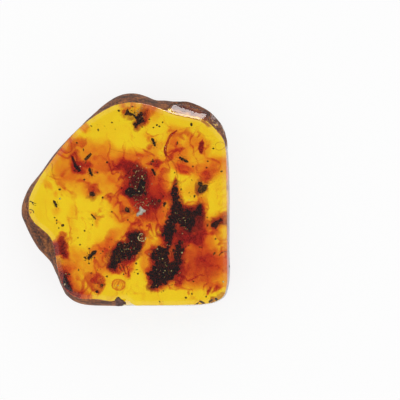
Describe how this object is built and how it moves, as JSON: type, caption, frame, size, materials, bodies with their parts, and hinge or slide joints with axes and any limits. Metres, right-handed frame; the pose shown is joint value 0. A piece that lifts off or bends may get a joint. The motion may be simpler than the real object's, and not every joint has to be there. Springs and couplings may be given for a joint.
{
  "type": "insect in amber",
  "caption": "Polished see-through slab of natural amber with a brown skin round its sides, holding tiny fossil insects and dark plant debris.",
  "frame": {"origin": "middle of the slab's box, at the height of the surface that its flat back face lies on", "axes": "+Z out of the polished front face, +X to the right and +Y to the rounded top as seen from the front"},
  "size_m": [0.0386, 0.0394, 0.01],
  "materials": {
    "amber": "polished clear amber, brown natural skin on the sides",
    "bark_debris": "dark, crumbly plant debris",
    "red_bark": "resin-soaked red plant tissue",
    "chitin": "insect cuticle",
    "pale_mould": "pale, chalky film on a fleck of debris"
  },
  "bodies": {
    "root": {"amber_front": "amber", "amber_back": "amber", "debris_upper": "bark_debris", "debris_lower": "bark_debris", "debris_centre": "bark_debris", "debris_low_centre": "bark_debris", "debris_top": "bark_debris", "pellet_pair": "bark_debris", "bark_chip_right": "bark_debris", "bark_shred_left": "red_bark", "red_scale_left": "red_bark", "red_scale_right": "red_bark", "round_grain": "bark_debris", "seed": "bark_debris", "pale_fleck": "pale_mould", "edge_lump": "bark_debris", "plant_fibre": "red_bark", "stick_upper_left": "bark_debris", "stem_low": "red_bark", "leg_right": "chitin", "leg_left_upper": "chitin", "leg_left_lower": "chitin", "insect_low_left": "chitin", "insect_top": "chitin", "insect_centre": "chitin", "insect_right": "chitin", "insect_upper_left": "chitin", "insect_left": "chitin", "insect_long_legs": "chitin"}
  },
  "joints": []
}
